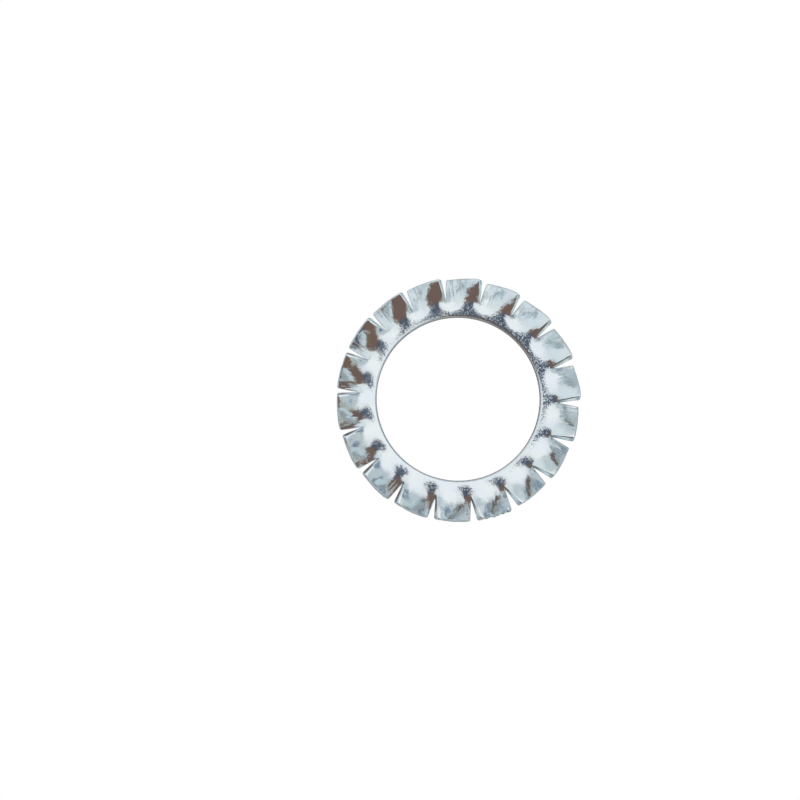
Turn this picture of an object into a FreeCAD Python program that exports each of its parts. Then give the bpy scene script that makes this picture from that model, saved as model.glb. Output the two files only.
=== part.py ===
# Toothed lock washer with twisted outer teeth, for a 16 mm bolt. Millimetres, +Z up.
#
# The washer is stamped from one piece of spring steel sheet. The inside is a flat ring. Slits run in
# from the rim, and each tooth between two slits is twisted about its own radial line, so that its
# clockwise corner stands above the ring and its other corner below it. The sheet bends in an S over
# the width of a tooth. Under the end of each slit the ring climbs from one tooth to the next.
# Origin: on the axis, halfway up the sheet.

import FreeCAD, Part
import math
import os

doc = FreeCAD.newDocument("toothed_lock_washer")

# Driving sizes
sizes = doc.addObject("Spreadsheet::Sheet", "Sizes")
sizes.set("A1", "hole for the bolt")
sizes.set("B1", "17.2")
sizes.setAlias("B1", "bore_diameter")
sizes.set("A2", "over the cut ends of the teeth")
sizes.set("B2", "25.6")
sizes.setAlias("B2", "rim_diameter")
sizes.set("A3", "spring steel sheet")
sizes.set("B3", "1.2")
sizes.setAlias("B3", "sheet_thickness")
sizes.set("A4", "teeth round the rim")
sizes.set("B4", "18")
sizes.setAlias("B4", "tooth_count")
sizes.set("A5", "flat part of the ring, out from the bore")
sizes.set("B5", "0.4")
sizes.setAlias("B5", "flat_ring_width")
sizes.set("A6", "from the flat part out to the ends of the slits")
sizes.set("B6", "1.3")
sizes.setAlias("B6", "twisted_ring_width")
sizes.set("A7", "middle of the sheet at a tooth corner, above the ring's middle")
sizes.set("B7", "1.43")
sizes.setAlias("B7", "corner_rise")
sizes.set("A8", "share of a quarter wave, in degrees, in half a tooth's S bend")
sizes.set("B8", "67.5")
sizes.setAlias("B8", "curl_angle")
sizes.set("A9", "power of the twist's growth: under 1 it grows early")
sizes.set("B9", "0.85")
sizes.setAlias("B9", "twist_growth")
sizes.set("A10", "half the width of the climb between two teeth, at the slit's end")
sizes.set("B10", "0.9")
sizes.setAlias("B10", "climb_at_slit")
sizes.set("A11", "the same where the ring becomes flat")
sizes.set("B11", "1.1")
sizes.setAlias("B11", "climb_at_ring")
sizes.set("A12", "length over which the sides of a slit part")
sizes.set("B12", "1.3")
sizes.setAlias("B12", "slit_opening_length")
sizes.set("A13", "width of the bevel on the bore's two edges")
sizes.set("B13", "0.15")
sizes.setAlias("B13", "bore_edge_break")
doc.recompute()

bore_radius = sizes.bore_diameter / 2
rim_radius = sizes.rim_diameter / 2
half_sheet = sizes.sheet_thickness / 2
tooth_count = int(round(sizes.tooth_count))
half_pitch = math.pi / tooth_count
twist_start_radius = bore_radius + sizes.flat_ring_width
slit_end_radius = twist_start_radius + sizes.twisted_ring_width
corner_rise = sizes.corner_rise
curl = math.radians(sizes.curl_angle)
twist_growth = sizes.twist_growth
climb_at_slit = sizes.climb_at_slit
climb_at_ring = sizes.climb_at_ring
slit_opening_length = sizes.slit_opening_length

# Strips of the sheet's faces, counted out from where the ring becomes flat, and points across a tooth
RING_STRIPS = 3
TOOTH_STRIPS = 5
TOOTH_STRIP_GROWTH = 1.15
ACROSS_STEPS = 8
SEWING_TOLERANCE = 0.001


def half_width(radius):
    """Half the width of a tooth along the arc. Beyond the slit's end its sides are parallel."""
    return min(radius, slit_end_radius) * half_pitch


def twist_share(radius):
    """How far the twist has grown: 0 where the ring becomes flat and 1 at the rim."""
    way_out = max(0.0, (radius - twist_start_radius) / (rim_radius - twist_start_radius))
    return math.sin(math.pi / 2 * way_out ** twist_growth) ** 2


def climb_share(radius):
    """How far the edge of a tooth still returns to the ring's level: 1 inside the slit's end."""
    opened = (radius - slit_end_radius) / slit_opening_length
    return (1 - min(1.0, max(0.0, opened))) ** 2


def climb_width(radius):
    """Half the width of the climb between two teeth."""
    inward = max(0.0, (slit_end_radius - radius) / sizes.twisted_ring_width)
    return climb_at_slit + (climb_at_ring - climb_at_slit) * inward


def sheet_point(radius, across, face):
    """A point of the tooth whose middle lies on +X.

    across runs from -1 on the clockwise edge to 1 on the other one. face is 1 on the upper face of
    the sheet and -1 on the lower one.
    """
    width = half_width(radius)
    rise = corner_rise * twist_share(radius)
    height = -rise * math.sin(curl * across) / math.sin(curl)
    fall = rise * curl * math.cos(curl * across) / (math.sin(curl) * width)
    tilt = math.atan(fall)
    into_climb = max(0.0, 1 - (1 - abs(across)) * width / climb_width(radius))
    height *= 1 - climb_share(radius) * (1 - math.cos(math.pi / 2 * into_climb))
    angle = (across * width + face * half_sheet * math.sin(tilt)) / radius
    height += face * half_sheet * math.cos(tilt)
    return FreeCAD.Vector(radius * math.cos(angle), radius * math.sin(angle), height)


def steps(first, last, count, growth=1.0):
    """Values from first to last, both included. With a growth over 1 the steps widen."""
    return [first + (last - first) * (step / count) ** growth for step in range(count + 1)]


def section(radius, face):
    """The line across a tooth on the circle of this radius, on one face of the sheet."""
    curve = Part.BSplineCurve()
    points = [sheet_point(radius, across, face) for across in steps(-1, 1, ACROSS_STEPS)]
    curve.interpolate(Points=points, Parameters=steps(0, 1, ACROSS_STEPS))
    return curve.toShape()


def sheet_strips(radii):
    """Both faces of the sheet, in ruled strips between neighbouring circles."""
    strips = []
    for inner, outer in zip(radii, radii[1:]):
        for face in (1, -1):
            strips.append(Part.makeRuledSurface(section(inner, face), section(outer, face)))
    return strips


def cut_sides(radii):
    """The two sides of a tooth, as the slits cut them."""
    sides = []
    for inner, outer in zip(radii, radii[1:]):
        for across in (-1, 1):
            upper, lower = [
                Part.makeLine(sheet_point(inner, across, face), sheet_point(outer, across, face))
                for face in (1, -1)]
            sides.append(Part.makeRuledSurface(upper, lower))
    return sides


def tooth_faces():
    """The faces of one tooth and of the ring under it."""
    ring_radii = steps(twist_start_radius, slit_end_radius, RING_STRIPS)
    tooth_radii = steps(slit_end_radius, rim_radius, TOOTH_STRIPS, TOOTH_STRIP_GROWTH)
    rim_cut = Part.makeRuledSurface(section(rim_radius, 1), section(rim_radius, -1))
    return sheet_strips(ring_radii) + sheet_strips(tooth_radii) + cut_sides(tooth_radii) + [rim_cut]


def turned(shape, number):
    """A copy of a shape, turned to the place of tooth number."""
    copy = shape.copy()
    copy.rotate(FreeCAD.Vector(0, 0, 0), FreeCAD.Vector(0, 0, 1), math.degrees(2 * half_pitch * number))
    return copy


def toothed_disc():
    """The stamped and twisted sheet before its bore: a solid disc with its ring of teeth."""
    shell_faces = [turned(face, number) for number in range(tooth_count) for face in tooth_faces()]
    for face in (1, -1):
        edge = section(twist_start_radius, face)
        outline = Part.Wire([turned(edge, number) for number in range(tooth_count)])
        shell_faces.append(Part.Face(outline))
    shell = Part.makeCompound(shell_faces)
    shell.sewShape(SEWING_TOLERANCE)
    solid = Part.Solid(shell.Shells[0])
    if solid.Volume < 0:
        solid.reverse()
    return solid


disc = doc.addObject("Part::Feature", "ToothedDisc")
disc.Shape = toothed_disc()

# Bore, right through the flat middle of the disc
bore = doc.addObject("Part::Cylinder", "Bore")
bore.setExpression("Radius", "Sizes.bore_diameter / 2")
bore.setExpression("Height", "Sizes.sheet_thickness * 2")
bore.setExpression("Placement.Base.z", "-Sizes.sheet_thickness")
ring_cut = doc.addObject("Part::Cut", "BoredDisc")
ring_cut.Base = disc
ring_cut.Tool = bore
doc.recompute()

# Both edges of the bore are broken
washer = doc.addObject("Part::Chamfer", "Washer")
washer.Label = "washer"
washer.Base = ring_cut
bore_edges = [
    number for number, edge in enumerate(ring_cut.Shape.Edges, start=1)
    if isinstance(edge.Curve, Part.Circle) and abs(edge.Curve.Radius - bore_radius) < SEWING_TOLERANCE]
edge_break = sizes.bore_edge_break
washer.Edges = [(number, edge_break, edge_break) for number in bore_edges]
doc.recompute()

for thing in doc.Objects:
    if "Invalid" in thing.State or "Error" in thing.State:
        raise RuntimeError("%s did not build: %s" % (thing.Name, thing.State))
if washer.Shape.isNull() or not washer.Shape.isValid():
    raise RuntimeError("the washer's shape is not valid")

box = washer.Shape.BoundBox
print("solids %d, faces %d" % (len(washer.Shape.Solids), len(washer.Shape.Faces)))
print("size %.3f x %.3f x %.3f mm" % (box.XLength, box.YLength, box.ZLength))
print("volume %.2f mm3" % washer.Shape.Volume)
os.makedirs("parts", exist_ok=True)
washer.Shape.exportStep("parts/%s.step" % washer.Label)
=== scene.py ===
# %% [markdown]
# # Toothed lock washer in bright zinc plate
# The object is one flat stamping: a ring of spring steel with slits cut in from its rim, and
# between the slits eighteen teeth, each twisted about its own radial line. This lesson makes its
# visible skin, its plating and a small photo studio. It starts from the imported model, which fixes
# every size.

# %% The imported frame
import math
from collections import Counter

import bpy
from bpy_extras.object_utils import world_to_camera_view
from mathutils import Matrix, Vector


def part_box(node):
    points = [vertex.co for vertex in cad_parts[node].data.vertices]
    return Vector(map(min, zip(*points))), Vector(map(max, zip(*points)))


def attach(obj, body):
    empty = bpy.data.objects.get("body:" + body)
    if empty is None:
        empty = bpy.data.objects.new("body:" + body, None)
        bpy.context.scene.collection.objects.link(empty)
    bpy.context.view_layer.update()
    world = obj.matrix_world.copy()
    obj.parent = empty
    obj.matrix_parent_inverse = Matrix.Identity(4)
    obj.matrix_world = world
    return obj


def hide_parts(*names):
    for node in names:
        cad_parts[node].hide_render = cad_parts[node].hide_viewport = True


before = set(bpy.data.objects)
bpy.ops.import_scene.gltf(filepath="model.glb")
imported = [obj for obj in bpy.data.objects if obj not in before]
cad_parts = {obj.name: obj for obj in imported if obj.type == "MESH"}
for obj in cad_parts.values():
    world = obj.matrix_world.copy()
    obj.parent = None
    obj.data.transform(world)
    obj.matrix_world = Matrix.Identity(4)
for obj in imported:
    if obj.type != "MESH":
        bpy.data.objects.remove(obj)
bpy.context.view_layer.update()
low_corner, high_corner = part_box("washer")
MM = 0.001
print("packed washer, mm:", [round(v / MM, 3) for v in (high_corner - low_corner)])

# %% [markdown]
# ## Sizes
# A washer is described by a few numbers: the hole, the rim, the sheet, the number of teeth, and
# how far each tooth is twisted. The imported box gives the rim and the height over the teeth. The
# twist follows from the height: a tooth corner rises by half of it, less half the sheet, which
# leans with the tooth.

# %% Sizes in millimetres
SHEET = 1.2
CORNER_LEAN = math.radians(19)
HEIGHT = (high_corner.z - low_corner.z) / MM
SIZES = {
    "Teeth": 18,
    "Bore radius": 8.6,
    "Rim radius": round(high_corner.x / MM, 1),
    "Slit end radius": 10.3,
    "Twist start radius": 8.62,
    "Sheet": SHEET,
    "Corner rise": HEIGHT / 2 - SHEET / 2 * math.cos(CORNER_LEAN),
    "Edge round": 0.18,
    "Bore round": 0.30,
    "Climb at slit": 1.3,
    "Climb at ring": 1.1,
    "Slit opening": 1.2,
    "Slit lean": 1.5,  # degrees
    "Tooth play": 1.0,
    "Bore drift": 0.115,
    "Seed": 7,
}
print("rim radius %(Rim radius).2f, tooth corner rise %(Corner rise).2f" % SIZES)

# %% [markdown]
# ## A bench for node trees
# A node tree is easier to read as a sum than as a picture of wires. The small class `Value` wraps
# one socket, so that `1 - mask` or `a * b` adds the Math nodes. The class `Bench` adds every other
# node: its kind first, then its settings, then what goes into its sockets.

# %% A value that stands in sums
class Value:
    """One output socket, which can stand in a Python sum."""

    def __init__(self, bench, socket):
        self.bench = bench
        self.socket = socket

    def output(self, name):
        """Another output of the same node."""
        return Value(self.bench, self.socket.node.outputs[name])

    def __add__(self, other): return self.bench.math("ADD", self, other)
    def __radd__(self, other): return self.bench.math("ADD", other, self)
    def __sub__(self, other): return self.bench.math("SUBTRACT", self, other)
    def __rsub__(self, other): return self.bench.math("SUBTRACT", other, self)
    def __mul__(self, other): return self.bench.math("MULTIPLY", self, other)
    def __rmul__(self, other): return self.bench.math("MULTIPLY", other, self)
    def __truediv__(self, other): return self.bench.math("DIVIDE", self, other)
    def __rtruediv__(self, other): return self.bench.math("DIVIDE", other, self)
    def __pow__(self, other): return self.bench.math("POWER", self, other)


print("a value takes + - * / and **")


# %% The bench itself
class Bench:
    """Adds nodes to one tree and joins them."""

    def __init__(self, tree):
        self.tree = tree

    def put(self, value, socket):
        """Join a Value to an input socket, or write a plain value on it."""
        if isinstance(value, Value):
            self.tree.links.new(value.socket, socket)
        else:
            socket.default_value = value

    def add(self, kind, settings=None, inputs=None, output=0):
        """One node: its kind, its settings and then its sockets, by name or by place."""
        node = self.tree.nodes.new(kind)
        for name, setting in (settings or {}).items():
            if name == "stops":
                ramp = node.color_ramp
                while len(ramp.elements) < len(setting):
                    ramp.elements.new(0.5)
                for element, (place, colour) in zip(ramp.elements, setting):
                    element.position = place
                    element.color = colour
            else:
                setattr(node, name, setting)
        for key, value in (inputs or {}).items():
            self.put(value, node.inputs[key])
        return Value(self, node.outputs[output]) if node.outputs else None

    def math(self, operation, *terms):
        """A Math node on numbers."""
        return self.add("ShaderNodeMath", {"operation": operation}, dict(enumerate(terms)))

    def smooth(self, value, first, last):
        """0 below first and 1 above last, with a soft step between them."""
        return self.add("ShaderNodeMapRange", {"interpolation_type": "SMOOTHSTEP"},
                        {"Value": value, "From Min": first, "From Max": last})

    def noise(self, place, scale, detail, roughness=0.5):
        """A noise between 0 and 1."""
        return self.add("ShaderNodeTexNoise", inputs={
            "Vector": place, "Scale": scale, "Detail": detail, "Roughness": roughness})

    def ripple(self, place, scale, detail, roughness=0.5):
        """A noise that swings half a unit to each side of zero."""
        return self.noise(place, scale, detail, roughness) - 0.5

    def split(self, vector):
        """The first of a vector's three numbers. Its outputs Y and Z are the others."""
        return self.add("ShaderNodeSeparateXYZ", inputs={0: vector})

    def join(self, x, y, z):
        """A vector from three numbers."""
        return self.add("ShaderNodeCombineXYZ", inputs={0: x, 1: y, 2: z})

    def vector(self, operation, first, second, output=0):
        """A Vector Math node."""
        return self.add(
            "ShaderNodeVectorMath", {"operation": operation}, {0: first, 1: second}, output)

    def blend(self, factor, first, second):
        """A colour between two others."""
        return self.add(
            "ShaderNodeMix", {"data_type": "RGBA"}, {0: factor, 6: first, 7: second}, 2)


def cleared_bench(owner):
    """The bench of a new material or world, with the nodes it came with taken out."""
    owner.use_nodes = True
    owner.node_tree.nodes.clear()
    return Bench(owner.node_tree)


print("a bench adds nodes to a rule, a material or a world")

# %% [markdown]
# ## The washer's skin
# The twist follows a rule, so Geometry Nodes can bend the whole washer from one small block. A
# gridded block stands for the sheet of one tooth and the ring under it. Eighteen copies are laid
# on each other and numbered. Then one rule sends every point of a block to its place: out along
# the radius, round by the tooth's number, up by an S over the tooth's width, with the thickness
# laid along the slope. The faces where two blocks meet inside the slit's end are taken out, and
# the blocks are merged into one skin. Modelling one tooth by hand and arraying it would need the
# same bend drawn by eye.

# %% The tree and its named sizes
tree = bpy.data.node_groups.new("twisted_tooth_rule", "GeometryNodeTree")
tree.is_modifier = True
socket_ids = {}
for name, start in SIZES.items():
    kind = "NodeSocketInt" if isinstance(start, int) else "NodeSocketFloat"
    item = tree.interface.new_socket(name, in_out="INPUT", socket_type=kind)
    item.default_value = start
    socket_ids[name] = item.identifier
plating_item = tree.interface.new_socket(
    "Plating", in_out="INPUT", socket_type="NodeSocketMaterial")
tree.interface.new_socket("Washer", in_out="OUTPUT", socket_type="NodeSocketGeometry")
bench = Bench(tree)
group_in = bench.add("NodeGroupInput")
size = {name: group_in.output(name) for name in SIZES}
bore, rim = size["Bore radius"], size["Rim radius"]
slit_end, twist_start = size["Slit end radius"], size["Twist start radius"]
print("the tree has %d named inputs" % (len(SIZES) + 1))

# %% Eighteen numbered blocks
STEPS_OUT, STEPS_ACROSS, STEPS_UP = 46, 40, 8
block = bench.add("GeometryNodeMeshCube", inputs={
    "Size": (2.0, 2.0, 2.0), "Vertices X": STEPS_OUT + 1,
    "Vertices Y": STEPS_ACROSS + 1, "Vertices Z": STEPS_UP + 1})
places = bench.add("GeometryNodeMeshLine", inputs={
    "Count": size["Teeth"], "Offset": (0.0, 0.0, 0.0)})
blocks = bench.add("GeometryNodeInstanceOnPoints", inputs={"Points": places, "Instance": block})
index = bench.add("GeometryNodeInputIndex")
numbered = bench.add(
    "GeometryNodeStoreNamedAttribute", {"data_type": "FLOAT", "domain": "INSTANCE"},
    {"Geometry": blocks, "Name": "tooth", "Value": index})
blocks = bench.add("GeometryNodeRealizeInstances", inputs={"Geometry": numbered})
tooth = bench.add("GeometryNodeInputNamedAttribute", {"data_type": "FLOAT"}, {"Name": "tooth"})
place = bench.split(bench.add("GeometryNodeInputPosition"))
grid_out, grid_across, grid_up = place, place.output("Y"), place.output("Z")
print("a block is %d x %d x %d squares" % (STEPS_OUT, STEPS_ACROSS, STEPS_UP))

# %% [markdown]
# The block's grid runs from -1 to 1 each way. It is stretched so that its lines crowd at the
# edges, where the sheet is rounded, and so that one line falls on the slit's end. The slit's
# sides are the block's sides, so inside the slit's end they go.

# %% From the block's grid to the flat sheet
QUARTER = math.pi / 2
HAIR = 0.0001
ring_reach = slit_end - bore
tooth_reach = rim - slit_end
on_tooth = bench.math("GREATER_THAN", grid_out, HAIR)
ring_out = bore + ring_reach * (1.0 - bench.math("COSINE", (grid_out + 1.0) * QUARTER))
tooth_out = slit_end + tooth_reach * bench.math("SINE", grid_out * QUARTER)
flat_radius = ring_out + (tooth_out - ring_out) * on_tooth
half_pitch = math.pi / size["Teeth"]
flat_half_width = bench.math("MINIMUM", flat_radius, slit_end) * half_pitch
flat_across = bench.math("SINE", grid_across * QUARTER) * flat_half_width
half_sheet = size["Sheet"] / 2.0
flat_up = bench.math("SINE", grid_up * QUARTER) * half_sheet

side = bench.math("GREATER_THAN", bench.math("ABSOLUTE", grid_across), 1.0 - HAIR)
inner_side = side * bench.math("LESS_THAN", grid_out, 0.0)
open_blocks = bench.add("GeometryNodeDeleteGeometry", {"domain": "FACE"},
                        {"Geometry": blocks, "Selection": inner_side})
print("flat sheet with slits, %d nodes so far" % len(tree.nodes))

# %% [markdown]
# ## Rounded edges
# A stamped and tumbled edge is never sharp. Each point is pulled back to a slightly smaller block
# and then pushed out again by the rounding, along the line to where it was. On the flats nothing
# changes, and the edges come out round. The rounding fades away where the slit ends, because there
# the sheet is whole.

# %% How far each point lies in a rounded edge
ROUND_FADE = 0.6  # over this length past a slit's end its rounding grows
BORE_ZONE = 0.6  # this wide a ring has the bore's own rounding
TINY = 0.000001


def above_zero(value):
    """The value, or zero where it is negative."""
    return bench.math("MAXIMUM", value, 0.0)


past_slit_end = bench.smooth(flat_radius - slit_end, 0.0, ROUND_FADE)
near_bore = bench.math("LESS_THAN", flat_radius, bore + BORE_ZONE)
side_round = size["Edge round"] * past_slit_end
top_round = size["Edge round"] * past_slit_end + size["Bore round"] * near_bore
across_size = bench.math("ABSOLUTE", flat_across)
up_size = bench.math("ABSOLUTE", flat_up)
over_rim = above_zero(flat_radius - (rim - size["Edge round"]))
under_bore = above_zero(bore + size["Bore round"] - flat_radius)
over_side = above_zero(across_size - (flat_half_width - side_round))
over_top = above_zero(up_size - (half_sheet - top_round))
share_out = over_rim / size["Edge round"] + under_bore / size["Bore round"]
share_side = over_side / bench.math("MAXIMUM", side_round, TINY)
share_top = over_top / bench.math("MAXIMUM", top_round, TINY)
print("edges measured, %d nodes so far" % len(tree.nodes))

# %% The rounded block, and which of its faces the press has cut
CUT_FROM, CUT_WHOLLY = 0.66, 0.94  # how far a face turns away from the flat, 0 to 1
pull = bench.math(
    "SQRT", share_out * share_out + share_side * share_side + share_top * share_top)
pull = bench.math("MAXIMUM", pull, TINY)
radius = flat_radius - over_rim + under_bore + (over_rim - under_bore) / pull
half_width = bench.math("MINIMUM", radius, slit_end) * half_pitch
across_mm = across_size - over_side + over_side / pull
across = across_mm * bench.math("SIGN", flat_across) / flat_half_width
up_mm = (up_size - over_top + over_top / pull) * bench.math("SIGN", flat_up)
cut_face = bench.math("MAXIMUM", share_out, share_side) / pull
sheared_mark = bench.smooth(cut_face, CUT_FROM, CUT_WHOLLY)
slit_side_mark = bench.smooth(share_side / pull, CUT_FROM, CUT_WHOLLY)
print("edges rounded, %d nodes so far" % len(tree.nodes))

# %% [markdown]
# ## The twist
# Inside the twist's start the ring is flat. Outside it the twist grows, so a tooth's clockwise
# corner rises and the other one falls. Across the tooth the sheet follows an S. Under the end of a
# slit the sheet has to climb from one low corner to the next high one, a little over a millimetre
# to each side of the slit's line. No two teeth leave the press quite alike: a fixed seed gives
# each a little more or less twist.

# %% The twist of a tooth
CURL = math.radians(74)
TWIST_GROWTH = 1.2
PLAY, LOSS = 0.045, 0.03  # of the twist: what a tooth may differ by, and what all give up
PLAY_FADE = 1.6


def by_tooth(lowest, highest, seed):
    """A random number for each tooth, the same at every run."""
    return bench.add("FunctionNodeRandomValue", {"data_type": "FLOAT"},
                     {2: lowest, 3: highest, "ID": tooth, "Seed": seed}, 1)


play = (by_tooth(-PLAY, PLAY, size["Seed"]) - LOSS) * size["Tooth play"]
out_share = above_zero((radius - twist_start) / (rim - twist_start))
twist = bench.math("SINE", QUARTER * out_share ** TWIST_GROWTH)
tooth_free = bench.smooth(radius - slit_end, 0.0, PLAY_FADE)
rise = size["Corner rise"] * twist * twist * (1.0 + play * tooth_free)
height = rise * bench.math("SINE", across * CURL) * (-1.0 / math.sin(CURL))
slope = rise * bench.math("COSINE", across * CURL) * (CURL / math.sin(CURL)) / half_width
lean = bench.math("ARCTANGENT", slope)
print("twist, %d nodes so far" % len(tree.nodes))

# %% The climb from tooth to tooth
inward = above_zero((slit_end - radius) / (slit_end - twist_start))
climb = size["Climb at slit"] + (size["Climb at ring"] - size["Climb at slit"]) * inward
from_edge = (1.0 - bench.math("ABSOLUTE", across)) * half_width
into_climb = above_zero(1.0 - from_edge / climb)
slit_open = bench.math("MINIMUM", above_zero((radius - slit_end) / size["Slit opening"]), 1.0)
closed = 1.0 - slit_open
level = 1.0 - closed * closed * (1.0 - bench.math("COSINE", into_climb * QUARTER))
up = height * level + up_mm * bench.math("COSINE", lean)
round_mm = across * half_width + up_mm * bench.math("SINE", lean)
print("climb, %d nodes so far" % len(tree.nodes))

# %% [markdown]
# ## Small faults
# The punch draws the ring's edge down a little where it shears the bore. The slits don't stand
# quite true to the bore: on one side of the ring they run a degree or so ahead, and the bore
# itself stands about a tenth of a millimetre off the rim's centre. The press pinches the low side
# of each tooth into shallow folds, some teeth more than others. One tooth in the lower half has a
# burred, ragged end. These are the marks that make a real washer look real.

# %% Punch roll and the lean of the slits
PICTURE_TURN = 7.1  # degrees from a direction on the washer to the same one in the picture
ROLL_WIDTH, ROLL_DEPTH = 1.15, 0.10
TRUE_RING = 0.2  # this wide a ring at the bore doesn't lean with the slits
roll = above_zero(1.0 - (radius - bore) / ROLL_WIDTH)
up = up - roll * roll * ROLL_DEPTH
angle = tooth * half_pitch * 2.0 + round_mm / radius
off_bore = bench.smooth(radius, bore + TRUE_RING, slit_end)
ahead = bench.math("COSINE", angle + math.radians(PICTURE_TURN)) * off_bore
angle = angle + ahead * size["Slit lean"] * math.pi / 180
print("the punch rolls the bore's edge down by %.2f mm" % ROLL_DEPTH)

# %% A burred tooth
BURRED_TOOTH = 14
NEAR_RIM = (11.6, 12.8)
RAGGED, RAGGED_BURR, BURR_RISE = 0.09, 0.80, 0.5
burred = bench.math("COMPARE", tooth, BURRED_TOOTH, 0.5)
burr_place = bench.join(angle * 9.0, radius * 0.6, up * 0.5)
burr = bench.ripple(burr_place, scale=2.6, detail=3.0) * bench.smooth(radius, *NEAR_RIM)
radius = radius + burr * (RAGGED + burred * RAGGED_BURR)
up = up + burr * burred * BURR_RISE
print("tooth %d is burred" % BURRED_TOOTH)

# %% Pinched folds on the low sides
FOLD_HEIGHT, FOLD_LEVEL = 0.30, 0.38
LEAST_PINCHED, FOLD_SEED = 0.25, 5
LOW_HALF, OUT_ON_TOOTH = (0.0, 0.85), (10.5, 11.6)
creased = by_tooth(LEAST_PINCHED, 1.0, size["Seed"] + FOLD_SEED)
fold_place = bench.join(angle * 10.0, radius * 0.5, tooth * 3.0)
fold = bench.noise(fold_place, scale=2.0, detail=2.0)
pinched = bench.smooth(across, *LOW_HALF) * bench.smooth(radius, *OUT_ON_TOOTH)
up = up + (fold - FOLD_LEVEL) * pinched * creased * FOLD_HEIGHT
print("folds up to %.2f mm on the low side of each tooth" % FOLD_HEIGHT)

# %% Round the ring, with the bore off the centre
DRIFT_TOWARDS = math.radians(83)
drift = size["Bore drift"] * (1.0 - off_bore)
x = radius * bench.math("COSINE", angle) + drift * math.cos(DRIFT_TOWARDS)
y = radius * bench.math("SINE", angle) + drift * math.sin(DRIFT_TOWARDS)
print("the bore stands %(Bore drift).3f mm off the centre" % SIZES)

# %% [markdown]
# ## One closed skin
# The blocks meet along the climbs inside the slit's end, where their points coincide, so a merge
# closes the skin. Three marks stay on it for the plating: how far across its tooth each point
# lies, whether it lies on a face that the press has sheared, and whether that face is the side of
# a slit. They are measured on the block's own grid, before the bend.

# %% Marks for the plating, the bend and the merge
MERGE_DISTANCE = 0.002 * MM
SHARP = math.radians(55)
MARKS = {"across": across, "sheared": sheared_mark, "slit_side": slit_side_mark}
marked = open_blocks
for name, value in MARKS.items():
    marked = bench.add(
        "GeometryNodeStoreNamedAttribute", {"data_type": "FLOAT", "domain": "POINT"},
        {"Geometry": marked, "Name": name, "Value": value})
bent = bench.add("GeometryNodeSetPosition", inputs={
    "Geometry": marked, "Position": bench.join(x * MM, y * MM, up * MM)})
skin = bench.add("GeometryNodeMergeByDistance", inputs={
    "Geometry": bent, "Distance": MERGE_DISTANCE})
skin = bench.add("GeometryNodeSetShadeSmooth", inputs={"Geometry": skin, "Shade Smooth": True})
crease = bench.math("GREATER_THAN", bench.add("GeometryNodeInputMeshEdgeAngle"), SHARP)
skin = bench.add("GeometryNodeSetShadeSmooth", {"domain": "EDGE"},
                 {"Geometry": skin, "Selection": crease, "Shade Smooth": False})
skin = bench.add("GeometryNodeRealizeInstances", inputs={"Geometry": skin})
skin = bench.add("GeometryNodeSetMaterial", inputs={
    "Geometry": skin, "Material": group_in.output("Plating")})
bench.add("NodeGroupOutput", inputs={"Washer": skin})
print("the rule takes %d nodes" % len(tree.nodes))

# %% [markdown]
# ## Bright zinc plate
# Electroplated zinc on bright steel is close to a mirror, with a cold blue tint from its
# passivation. Its surface is never flat at close range. The zinc grows in fine crystals, and each
# leans a little its own way, so the metal glitters in small flecks. The sheet's grain gives it an
# orange peel, the bend slow waves, and the press tool drag lines and folds, most of all on the low
# side of each tooth. The sheared faces are duller, with vertical shear lines. The sides of the
# slits are smoother and colder than the other cuts. The wall of the bore is dull, and its dark
# brown-grey is painted shade, standing in for the shadowed floor and brown board that it mirrors.
# Apart from that painted shade, all of this is bump, tint and roughness on a metal, so what it
# shows is mostly the room around it.

# %% The plating's coordinates
LINE_RING, LINE_STRETCH = 10.0, 0.14
plating = bpy.data.materials.new("zinc_plated_steel")
plate = cleared_bench(plating)
metres = plate.add("ShaderNodeTexCoord").output("Object")
in_mm = plate.add("ShaderNodeMapping", inputs={
    "Vector": metres, "Scale": (1 / MM, 1 / MM, 1 / MM)})
axes = plate.split(in_mm)
east, north, above = axes, axes.output("Y"), axes.output("Z")
out_mm = plate.math("SQRT", east * east + north * north)
round_the_ring = plate.join(
    east / out_mm * LINE_RING, north / out_mm * LINE_RING, out_mm * LINE_STRETCH)
across_tooth, sheared, slit_side = [
    plate.add("ShaderNodeAttribute", {"attribute_name": name}).output("Fac") for name in MARKS]
print("the plating reads the washer's own coordinates and", ", ".join(MARKS))

# %% Peel, waves and drag lines, in millimetres
TEETH, LOW_HALF_SOFT, PRESSED = (9.9, 11.0), (-0.1, 0.8), (10.2, 11.2)
PEEL, PEEL_LOST_ON_TEETH = 0.014, 0.004
WAVES = 0.09
DRAG, DRAG_ON_LOW_SIDE = 0.014, 0.060
on_teeth = plate.smooth(out_mm, *TEETH)
low_side = plate.smooth(across_tooth, *LOW_HALF_SOFT) * plate.smooth(out_mm, *PRESSED)
peel_mm = (plate.ripple(in_mm, scale=4.6, detail=1.5, roughness=0.55)
           * (PEEL - PEEL_LOST_ON_TEETH * on_teeth))
waves_mm = plate.ripple(in_mm, scale=0.9, detail=1.2) * WAVES * on_teeth
drag_mm = (plate.ripple(round_the_ring, scale=4.5, detail=2.5, roughness=0.6)
           * (DRAG + DRAG_ON_LOW_SIDE * low_side) * on_teeth)
print("orange peel %.3f mm, waves %.3f mm, drag lines %.3f mm" % (PEEL, WAVES, DRAG))

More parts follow.
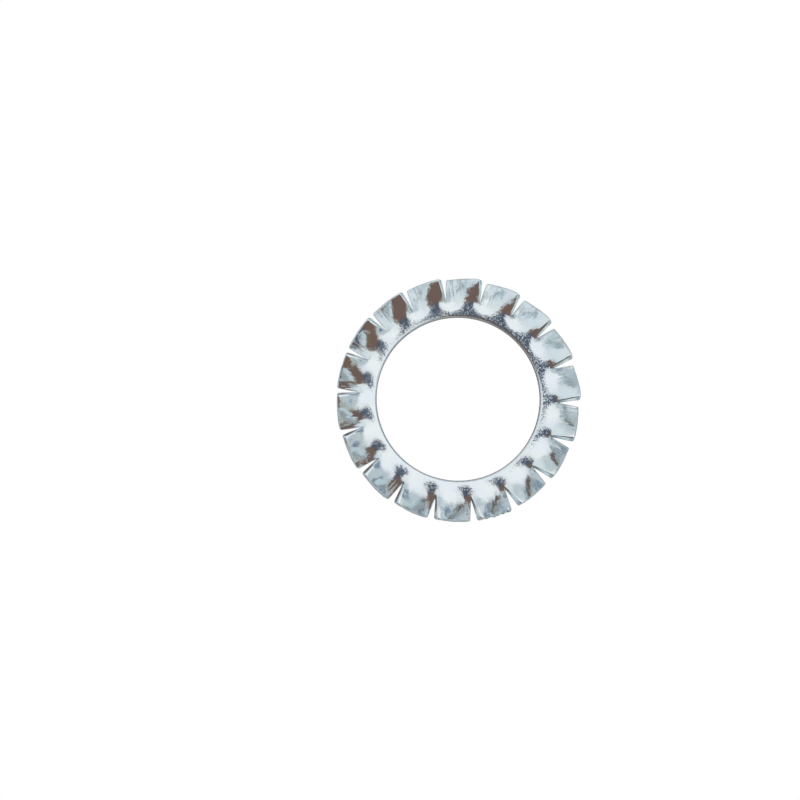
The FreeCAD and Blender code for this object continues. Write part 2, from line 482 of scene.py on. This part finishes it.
# %% Folds and shear lines, in millimetres
FOLDS, FOLDS_EVERYWHERE, FOLDS_ON_CREASED_SIDE = 0.26, 0.4, 1.3
SHEAR_LINES = 0.02
patchy = plate.smooth(plate.noise(in_mm, scale=0.33, detail=1.0), 0.42, 0.58)
creased_side = plate.smooth(north * 0.9 - east * 0.4, 3.0, 11.0)
folds_mm = (plate.math("ABSOLUTE", plate.ripple(round_the_ring, scale=1.5, detail=1.0))
            * FOLDS * low_side
            * (FOLDS_EVERYWHERE + patchy + FOLDS_ON_CREASED_SIDE * creased_side))
shear_place = plate.join(east * 3.0, north * 3.0, above * 0.5)
shear_mm = plate.ripple(shear_place, scale=3.0, detail=2.0) * SHEAR_LINES * sheared
relief_mm = (peel_mm + waves_mm + drag_mm + folds_mm) * (1.0 - sheared) + shear_mm
print("folds %.3f mm, shear lines %.3f mm" % (FOLDS, SHEAR_LINES))

# %% Zinc crystals, each leaning its own way
CRYSTALS_PER_MM = 17.0
CRYSTAL_LEAN, STEEP_LEAN = 0.058, 0.34
RARITY = 5.0  # a power: the higher it is, the fewer crystals lean steeply
CALM_ON_TEETH = 0.4
crystals = plate.add("ShaderNodeTexVoronoi", inputs={
    "Vector": in_mm, "Scale": CRYSTALS_PER_MM}).output("Color")
lean_vector = plate.vector("SUBTRACT", crystals, (0.5, 0.5, 0.5))
steep = plate.add("ShaderNodeSeparateColor", inputs={"Color": crystals}, output=1) ** RARITY
lean_size = (CRYSTAL_LEAN + STEEP_LEAN * steep) * (1.0 - CALM_ON_TEETH * on_teeth)
lean_vector = plate.add("ShaderNodeVectorMath", {"operation": "SCALE"},
                        {0: lean_vector, "Scale": lean_size})
facing = plate.add("ShaderNodeNewGeometry").output("Normal")
spangled = plate.vector("NORMALIZE", plate.vector("ADD", facing, lean_vector), (0.0, 0.0, 0.0))
relief = plate.add("ShaderNodeBump", inputs={
    "Strength": 1.0, "Distance": MM, "Height": relief_mm, "Normal": spangled})
print("%d crystals to the millimetre" % CRYSTALS_PER_MM)


# %% Its colour and gloss
def tone(red, green, blue):
    """A colour that covers wholly."""
    return (red, green, blue, 1.0)


COLD_ZINC, WARM_ZINC = tone(0.85, 0.88, 0.90), tone(0.90, 0.91, 0.89)
CUT_ZINC, CUT_ZINC_SHARE = tone(0.82, 0.83, 0.87), 0.8
SLIT_ZINC = tone(0.76, 0.84, 0.86)
# The bore's tone is a painted shade: a dark brown-grey standing in for the shadowed floor and brown
# board the wall mirrors
BORE_PAINTED_SHADE, BORE_WALL = tone(0.44, 0.37, 0.36), (8.8, 9.4)
POLISHED, FINE_DULL, CLOUD_DULL, CUT_DULL, SLIT_GLOSS = 0.05, 0.06, 0.05, 0.28, 0.12
cloud = plate.noise(in_mm, scale=0.5, detail=3.0)
tint = plate.blend(plate.smooth(cloud, 0.35, 0.65), COLD_ZINC, WARM_ZINC)
tint = plate.blend(sheared * CUT_ZINC_SHARE, tint, CUT_ZINC)
tint = plate.blend(slit_side, tint, SLIT_ZINC)
# Painted shade: the sheared wall of the bore takes the dark brown-grey tone
bore_wall_painted_shade = sheared * (1.0 - plate.smooth(out_mm, *BORE_WALL))
tint = plate.blend(bore_wall_painted_shade, tint, BORE_PAINTED_SHADE)
fine = plate.noise(in_mm, scale=9.0, detail=2.0)
dullness = (POLISHED + FINE_DULL * fine + CLOUD_DULL * cloud
            + CUT_DULL * sheared - SLIT_GLOSS * slit_side)
shader = plate.add("ShaderNodeBsdfPrincipled", inputs={
    "Base Color": tint, "Metallic": 1.0, "Roughness": dullness, "Normal": relief})
plate.add("ShaderNodeOutputMaterial", inputs={"Surface": shader})
print("plating has %d nodes" % len(plating.node_tree.nodes))

# %% [markdown]
# ## From rule to plain mesh
# The modifier holds the rule, and its sizes are set by the identifiers of its sockets. The
# evaluated object is then copied to a plain mesh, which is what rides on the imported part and
# stands for it.

# %% The rule on its carrier
def in_scene(name, data):
    """A new object in the scene, at the origin."""
    thing = bpy.data.objects.new(name, data)
    bpy.context.scene.collection.objects.link(thing)
    return thing


carrier = in_scene("rule_carrier", bpy.data.meshes.new("rule_carrier"))
modifier = carrier.modifiers.new("twisted_tooth_rule", "NODES")
modifier.node_group = tree
for name, start in SIZES.items():
    modifier[socket_ids[name]] = start
modifier[plating_item.identifier] = plating
print("the carrier holds the rule with", len(SIZES), "sizes and the plating")

# %% The washer
bpy.context.view_layer.update()
evaluated = carrier.evaluated_get(bpy.context.evaluated_depsgraph_get())
washer_mesh = bpy.data.meshes.new_from_object(evaluated)
washer_mesh.name = "toothed_washer"
washer = in_scene("toothed_washer", washer_mesh)
bpy.data.objects.remove(carrier)
washer_mesh.calc_loop_triangles()
print("washer skin: %d points, %d triangles"
      % (len(washer_mesh.vertices), len(washer_mesh.loop_triangles)))
edge_use = Counter(key for polygon in washer_mesh.polygons for key in polygon.edge_keys)
print("open edges: %d" % sum(1 for count in edge_use.values() if count != 2))
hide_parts("washer")
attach(washer, "root")

# %% [markdown]
# ## The floor
# The washer lies as it would come to rest, on its eighteen low corners. Under it is a white sheet
# that is lit until it burns out for the camera, as product photographs are, so only a trace of
# shadow is left. The metal still sees a calmer, greyer sheet, because a mirror of pure white would
# show no form.

# %% White sheet
FLOOR_REACH = 3.0
BURNT_SHARE, BURNT_STRENGTH = 0.98, 1.02
floor_level = low_corner.z
floor_mesh = bpy.data.meshes.new("white_sheet")
floor_mesh.from_pydata(
    [(across_floor * FLOOR_REACH, along_floor * FLOOR_REACH, floor_level)
     for across_floor, along_floor in ((-1, -1), (1, -1), (1, 1), (-1, 1))], [], [(0, 1, 2, 3)])
white_sheet = in_scene("white_sheet", floor_mesh)
paper = bpy.data.materials.new("white_sheet")
page = cleared_bench(paper)
lit = page.add("ShaderNodeBsdfDiffuse", inputs={"Color": tone(0.81, 0.87, 0.89)})
burnt_out = page.add("ShaderNodeEmission", inputs={
    "Color": tone(1.0, 1.0, 1.0), "Strength": BURNT_STRENGTH})
seen = page.add("ShaderNodeLightPath").output("Is Camera Ray")
surface = page.add("ShaderNodeMixShader", inputs={0: seen * BURNT_SHARE, 1: lit, 2: burnt_out})
page.add("ShaderNodeOutputMaterial", inputs={"Surface": surface})
floor_mesh.materials.append(paper)
print("sheet at %.3f mm" % (floor_level / MM))

# %% [markdown]
# ## The studio
# Bright metal is lit by what it mirrors, so the studio is drawn as soft patches on the world's
# sphere, each placed by its compass direction in the picture and its height above the floor. The
# walls are pale blue-grey. A white softbox hangs high to the upper right, and a paler wall stands
# to the upper left. Low down, navy shapes stand at the right, the lower right and the lower left,
# with a grey one below the washer. A warm brown board stands over the lower left, its lower edge a
# little above the floor. Overhead, a little to the lower left, is the slate-dark shape of whatever
# holds the camera. The camera itself sees plain white behind the washer.

# %% Directions in the picture and soft patches
world = bpy.data.worlds.new("studio")
room = cleared_bench(world)
direction = room.add("ShaderNodeTexCoord").output("Generated")
lift = room.split(direction).output("Z")


def towards(compass, elevation):
    """A direction: its compass angle in the picture (0 right, 90 up), then degrees of height."""
    turn, rising = math.radians(compass - PICTURE_TURN), math.radians(elevation)
    return (math.cos(turn) * math.cos(rising), math.sin(turn) * math.cos(rising),
            math.sin(rising))


def patch(compass, elevation, reach, softness):
    """1 inside a round patch of the sphere and 0 outside it, with a soft rim. All in degrees."""
    nearness = room.vector("DOT_PRODUCT", direction, towards(compass, elevation), "Value")
    outer = math.cos(math.radians(reach + softness / 2))
    inner = math.cos(math.radians(max(0.0, reach - softness / 2)))
    return room.smooth(nearness, outer, inner)


def joined(patches):
    """Several patches as one shape."""
    shape = patch(*patches[0])
    for other in patches[1:]:
        shape = room.math("MAXIMUM", shape, patch(*other))
    return shape


print("the picture's right on the washer:", [round(v, 3) for v in towards(0, 0)])

# %% The studio's walls, lights and boards
# Places on the ramp, where 0.5 is the horizon and 1 is overhead, and their tones
WALLS = [
    (0.525, tone(0.46, 0.56, 0.62)),
    (0.65, tone(0.55, 0.64, 0.68)),
    (0.775, tone(0.49, 0.56, 0.60)),
    (0.90, tone(0.80, 0.85, 0.88)),
]
# Compass, height, reach and softness in degrees, and a tone where each patch has its own
PATCHES = {
    "white softbox": (47, 60, 25, 44, tone(0.90, 0.95, 0.99)),
    "pale wall": (146, 18, 34, 34, tone(0.72, 0.81, 0.85)),
    "navy at the right": (30, 0, 24, 12, tone(0.22, 0.30, 0.38)),
    "navy at the lower right": (324, 2, 17, 12, tone(0.15, 0.21, 0.28)),
    "grey below": (270, 20, 30, 14, tone(0.41, 0.45, 0.42)),
    "navy at the lower left": (231, 7, 17, 8, tone(0.06, 0.10, 0.15)),
}
BOARD, BOARD_EDGE = [(234, 51, 28, 6), (228, 24, 29, 6), (262, 38, 25, 6)], (0.19, 0.25)
SLATE = [(240, 79, 16, 6), (273, 67, 10, 6)]
studio = room.add("ShaderNodeValToRGB", {"stops": WALLS}, {"Fac": lift * 0.5 + 0.5})
for *outline, colour in PATCHES.values():
    studio = room.blend(patch(*outline), studio, colour)
board = joined(BOARD) * room.smooth(lift, *BOARD_EDGE)
studio = room.blend(board, studio, tone(0.175, 0.12, 0.10))
studio = room.blend(joined(SLATE), studio, tone(0.085, 0.11, 0.155))
seen_room = room.add("ShaderNodeLightPath").output("Is Camera Ray")
studio = room.blend(seen_room, studio, tone(1.0, 1.0, 1.0))
sky = room.add("ShaderNodeBackground", inputs={"Color": studio, "Strength": 1.0})
room.add("ShaderNodeOutputWorld", inputs={"Surface": sky})
bpy.context.scene.world = world
bpy.context.scene.view_settings.view_transform = "Standard"
print("studio: %s, brown board, slate overhead" % ", ".join(PATCHES))

# %% [markdown]
# ## The camera
# The photograph looks almost straight down the washer's axis. The inner wall shows only on the
# upper right, so the camera stands a few degrees to the lower left of the axis. The washer lies
# right of the picture's centre, so the camera aims a little left of it.

# %% Long lens, looking down
PICTURE_PIXELS = 800
MM_PER_PIXEL = 0.1053
WASHER_PIXEL = (458.3, 400.0)
CAMERA_DISTANCE = 400.0
CAMERA_COMPASS, CAMERA_LEAN = 225, 4.7
SENSOR_WIDTH = 36.0
camera_data = bpy.data.cameras.new("long_lens")
camera_data.sensor_width = SENSOR_WIDTH
camera_data.lens = SENSOR_WIDTH * CAMERA_DISTANCE / (PICTURE_PIXELS * MM_PER_PIXEL)
camera_data.clip_start, camera_data.clip_end = 0.01, 10.0
camera = in_scene("long_lens", camera_data)
bpy.context.scene.camera = camera
camera.location = (
    MM * CAMERA_DISTANCE * Vector(towards(CAMERA_COMPASS, 90 - CAMERA_LEAN)))
picture_right, picture_up = Vector(towards(0, 0)), Vector(towards(90, 0))
middle = PICTURE_PIXELS / 2
offset = picture_right * (WASHER_PIXEL[0] - middle) + picture_up * (middle - WASHER_PIXEL[1])
forward = (-offset * MM_PER_PIXEL * MM - camera.location).normalized()
right = forward.cross(picture_up).normalized()
upward = right.cross(forward)
camera.rotation_mode = "QUATERNION"
camera.rotation_quaternion = Matrix((right, upward, -forward)).transposed().to_quaternion()
bpy.context.view_layer.update()
seen_at = world_to_camera_view(bpy.context.scene, camera, Vector((0, 0, 0)))
print("washer's centre in the frame:", round(seen_at.x, 4), round(seen_at.y, 4))
